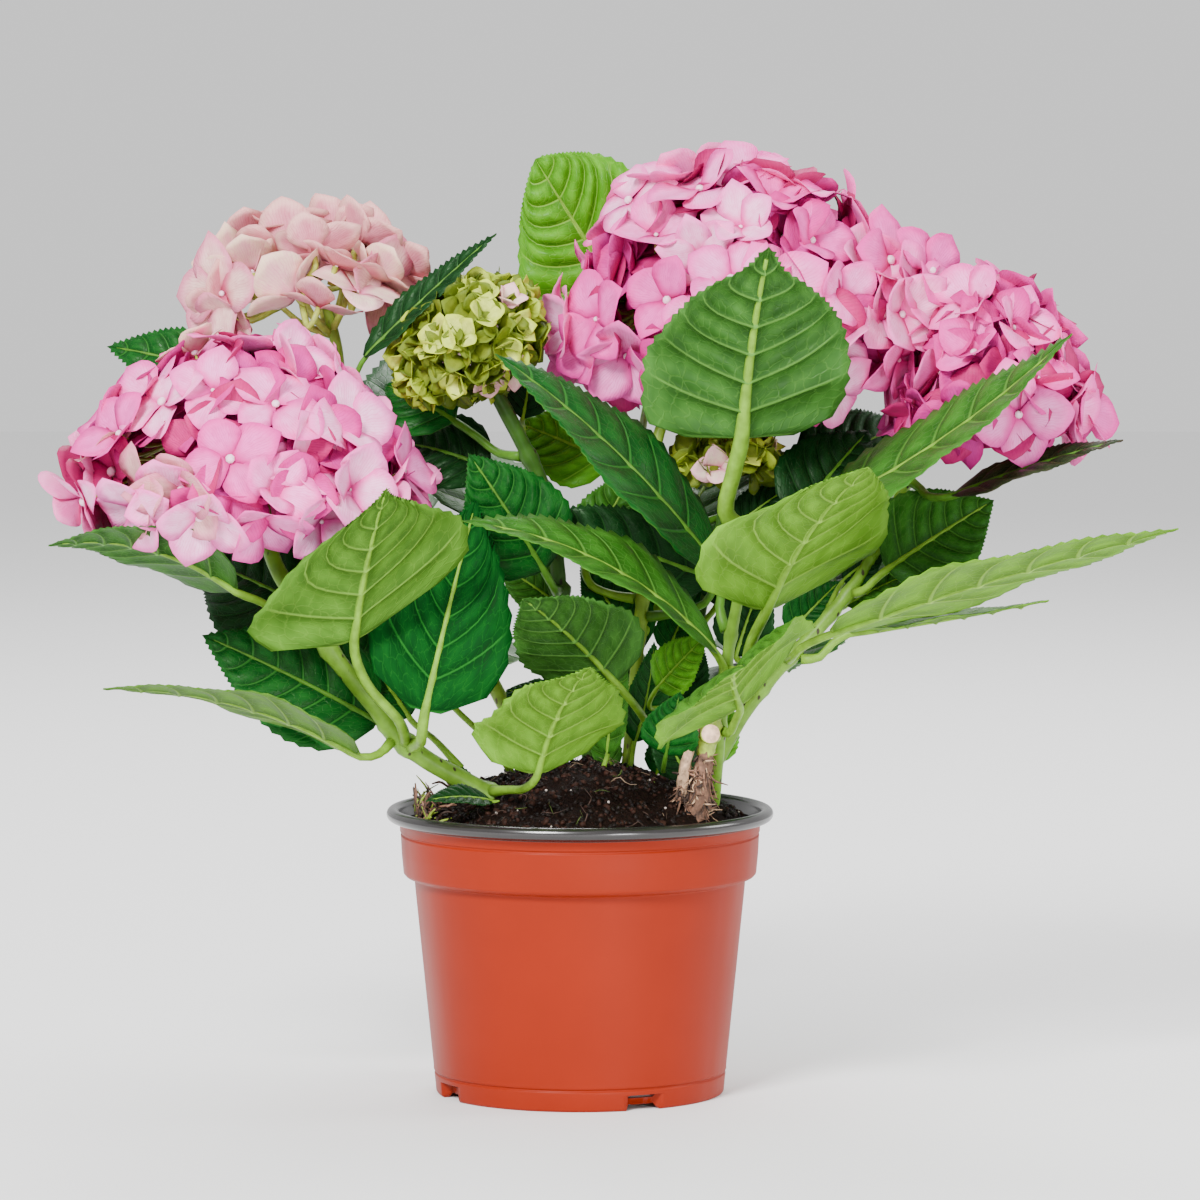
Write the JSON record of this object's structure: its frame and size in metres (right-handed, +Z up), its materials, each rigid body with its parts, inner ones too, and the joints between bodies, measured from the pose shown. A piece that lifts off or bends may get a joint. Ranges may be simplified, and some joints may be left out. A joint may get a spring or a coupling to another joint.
{
  "type": "potted hydrangea shrub",
  "caption": "Mophead hydrangea in a round nursery pot, with rounded pink and lime flower heads on leafy stems, as a garden or patio plant.",
  "frame": {"origin": "middle of the pot's flat underside, on the surface that the pot stands on", "axes": "+Z up; -Y is the front, the side the picture shows; +X to the right as seen from the front"},
  "size_m": [0.4019, 0.2692, 0.3452],
  "materials": {
    "pot_plastic": "terracotta-coloured satin moulded plastic with a dark inside and rim",
    "compost": "moist dark peat mix with pale specks and root fibres",
    "old_wood": "weathered brown bark with a pale cut end",
    "green_stem": "smooth green bark with small dark flecks",
    "leaf": "quilted green leaf, satin above and matte, paler green below, with pale veins",
    "pink_petals": "soft matte pink sepals with fine veins and paler middles",
    "hot_pink_petals": "soft matte deep pink sepals",
    "pale_pink_petals": "soft matte pale pink and cream-green sepals",
    "lime_buds": "soft matte lime green young florets"
  },
  "bodies": {
    "root": {"pot": "pot_plastic", "soil": "compost", "stub": "old_wood", "head_left": "pink_petals", "head_back": "pale_pink_petals", "head_bud": "lime_buds", "head_main": "pink_petals", "head_small": "lime_buds", "head_right": "hot_pink_petals", "stem_left": "green_stem", "leaf_left_1": "leaf", "leaf_left_2": "leaf", "leaf_left_3": "leaf", "leaf_left_4": "leaf", "leaf_left_5": "leaf", "leaf_left_6": "leaf", "leaf_left_7": "leaf", "stem_back": "green_stem", "leaf_back_1": "leaf", "leaf_back_2": "leaf", "leaf_back_3": "leaf", "leaf_back_4": "leaf", "leaf_back_5": "leaf", "leaf_back_6": "leaf", "leaf_back_7": "leaf", "stem_bud": "green_stem", "leaf_bud_1": "leaf", "leaf_bud_2": "leaf", "leaf_bud_3": "leaf", "leaf_bud_4": "leaf", "leaf_bud_5": "leaf", "stem_main": "green_stem", "leaf_main_1": "leaf", "leaf_main_2": "leaf", "leaf_main_3": "leaf", "leaf_main_4": "leaf", "leaf_main_5": "leaf", "leaf_main_6": "leaf", "leaf_main_7": "leaf", "leaf_main_8": "leaf", "leaf_main_9": "leaf", "stem_small": "green_stem", "leaf_small_1": "leaf", "leaf_small_2": "leaf", "leaf_small_3": "leaf", "stem_front": "green_stem", "leaf_front_1": "leaf", "leaf_front_2": "leaf", "leaf_front_3": "leaf", "leaf_front_4": "leaf", "leaf_front_5": "leaf", "stem_right": "green_stem", "leaf_right_1": "leaf", "leaf_right_2": "leaf", "leaf_right_3": "leaf", "leaf_right_4": "leaf", "leaf_right_5": "leaf", "leaf_right_6": "leaf", "leaf_right_7": "leaf", "leaf_right_8": "leaf"}
  },
  "joints": []
}
